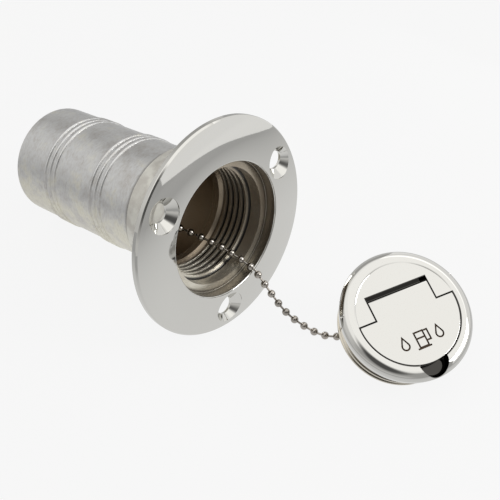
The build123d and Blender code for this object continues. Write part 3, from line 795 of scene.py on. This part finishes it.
# ---------------------------------------------------------------- operators
class DECKFILL_OT_camera(bpy.types.Operator):
    """Place the camera"""

    bl_idname = "deck_fill.camera"
    bl_label = "Camera"

    def execute(self, context):
        stage = context.scene.deck_fill_stage
        back = Vector((math.sin(stage.azimuth) * math.cos(stage.elevation),
                       -math.cos(stage.azimuth) * math.cos(stage.elevation), math.sin(stage.elevation)))
        data = bpy.data.cameras.new("camera")
        data.lens = stage.lens
        data.sensor_width = 36.0
        data.clip_start = 0.01
        camera = bpy.data.objects.new("camera", data)
        camera.location = CAMERA_TARGET + back * stage.distance
        camera.rotation_euler = (-back).to_track_quat("-Z", "Y").to_euler()
        context.scene.collection.objects.link(camera)
        context.scene.camera = camera
        return {"FINISHED"}


class DECKFILL_OT_chain(bpy.types.Operator):
    """Make the two stretches of ball chain"""

    bl_idname = "deck_fill.chain"
    bl_label = "Ball Chain"

    def execute(self, context):
        sizes = context.scene.deck_fill_chain
        colours = context.scene.deck_fill_colours
        tree = ball_chain_tree()
        finish = plated_finish("chain_nickel", colours.nickel, roughness=0.02)
        gap = sizes.pitch / 2
        for name, node, body, points, coupling, far_end, lay in (
            ("ball_chain_inner", "chain_inner", "neck", INNER_ROUTE, "anchor_coupling", "object", "hanging"),
            ("ball_chain_outer", "chain_outer", "tether", OUTER_ROUTE, "cap_coupling", "fitting", "loose"),
        ):
            line = route_line(points)
            length = line_length(line)
            count = int((length - gap) / sizes.pitch) + 1
            rest = length - gap - (count - 1) * sizes.pitch
            at_lip_last = points[-1] == LIP_POINT
            piece = chain_piece(name, line, tree, {
                "Bead Diameter": sizes.bead_d, "Wire Diameter": sizes.wire_d, "Hole Diameter": sizes.hole_d,
                "Start Room": rest if at_lip_last else gap, "End Room": gap if at_lip_last else rest,
                "Bead Count": count, "Material": finish})
            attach(piece, body)
            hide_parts(node)
        return {"FINISHED"}


class DECKFILL_OT_neck(bpy.types.Operator):
    """Finish the deck flange, the hose tube and the bracket in it"""

    bl_idname = "deck_fill.neck"
    bl_label = "Neck"

    def execute(self, context):
        colours = context.scene.deck_fill_colours
        dress("deck_flange", flange_finish(colours))
        dress("hose_tube", tube_finish(colours))
        fitting = plated_finish("fitting_steel", colours.satin, roughness=0.18)
        for node in ("chain_bracket", "bracket_pin"):
            dress(node, fitting)
        return {"FINISHED"}


class DECKFILL_OT_cap(bpy.types.Operator):
    """Finish the cap, its seal, its handle plate and the hinge pin"""

    bl_idname = "deck_fill.cap"
    bl_label = "Cap"

    def execute(self, context):
        colours = context.scene.deck_fill_colours
        dress("cap_body", cap_finish(colours))
        dress("handle_plate", plate_finish(colours))
        dress("hinge_pin", plated_finish("pin_steel", colours.mirror, roughness=0.08))
        dress("cap_seal", rubber_finish(colours))
        return {"FINISHED"}


class DECKFILL_OT_swivel(bpy.types.Operator):
    """Finish the couplings and the swivel under the cap"""

    bl_idname = "deck_fill.swivel"
    bl_label = "Swivel and Couplings"

    def execute(self, context):
        colours = context.scene.deck_fill_colours
        coupling = plated_finish("coupling_nickel", colours.nickel, roughness=0.08)
        for node in ("anchor_coupling", "cap_coupling"):
            dress(node, coupling)
        swivel = plated_finish("swivel_steel", colours.satin, roughness=0.16)
        for node in ("swivel_pin", "swivel_strap", "swivel_washer", "swivel_stud"):
            dress(node, swivel)
        return {"FINISHED"}


class DECKFILL_OT_stage(bpy.types.Operator):
    """Make the table and the lights"""

    bl_idname = "deck_fill.stage"
    bl_label = "Stage"

    def execute(self, context):
        stage = context.scene.deck_fill_stage
        corners = [(x * TABLE_HALF, y * TABLE_HALF, 0) for x, y in ((-1, -1), (1, -1), (1, 1), (-1, 1))]
        mesh = bpy.data.meshes.new("table")
        mesh.from_pydata(corners, [], [(0, 1, 2, 3)])
        mesh.materials.append(lit_floor_material(stage))
        floor = bpy.data.objects.new("table", mesh)
        context.scene.collection.objects.link(floor)
        area_light("overhead_softbox", place=(0.16, 0.22, 0.75), aim=(0.08, 0.06, 0), size=(0.90, 0.90),
                   brightness=stage.overhead, colour=(1.0, 0.985, 0.955))
        area_light("backdrop_card", place=(0.38, 0.245, 0.17), aim=(0.38, -0.20, 0.17), size=(0.90, 0.32),
                   brightness=0.52)
        area_light("key_light", place=(0.60, 0.33, 0.36), aim=(0, 0, 0.04), size=(0.30, 0.30),
                   brightness=stage.key)
        context.scene.world = studio_world(stage)
        context.scene.view_settings.view_transform = "Standard"
        return {"FINISHED"}


OPERATORS = (
    DECKFILL_OT_camera, DECKFILL_OT_chain, DECKFILL_OT_neck, DECKFILL_OT_cap, DECKFILL_OT_swivel,
    DECKFILL_OT_stage,
)


class DECKFILL_PT_panel(bpy.types.Panel):
    """Sizes, colours and makers of the deck fill cap"""

    bl_idname = "DECKFILL_PT_panel"
    bl_label = "Deck Fill Cap"
    bl_space_type = "VIEW_3D"
    bl_region_type = "UI"
    bl_category = "Deck Fill"

    def draw(self, context):
        for key, group in GROUPS:
            column = self.layout.column(align=True)
            for name in group.__annotations__:
                column.prop(getattr(context.scene, key), name)
        for operator in OPERATORS:
            self.layout.operator(operator.bl_idname)


def register():
    for key, group in GROUPS:
        bpy.utils.register_class(group)
        setattr(bpy.types.Scene, key, bpy.props.PointerProperty(type=group))
    for kind in (*OPERATORS, DECKFILL_PT_panel):
        bpy.utils.register_class(kind)


def unregister():
    for kind in reversed((*OPERATORS, DECKFILL_PT_panel)):
        bpy.utils.unregister_class(kind)
    for key, group in reversed(GROUPS):
        delattr(bpy.types.Scene, key)
        bpy.utils.unregister_class(group)


def main():
    register()
    bpy.ops.deck_fill.camera()
    bpy.ops.deck_fill.chain()
    bpy.ops.deck_fill.neck()
    bpy.ops.deck_fill.cap()
    bpy.ops.deck_fill.swivel()
    bpy.ops.deck_fill.stage()
    bpy.context.view_layer.update()


if __name__ == "__main__":
    main()
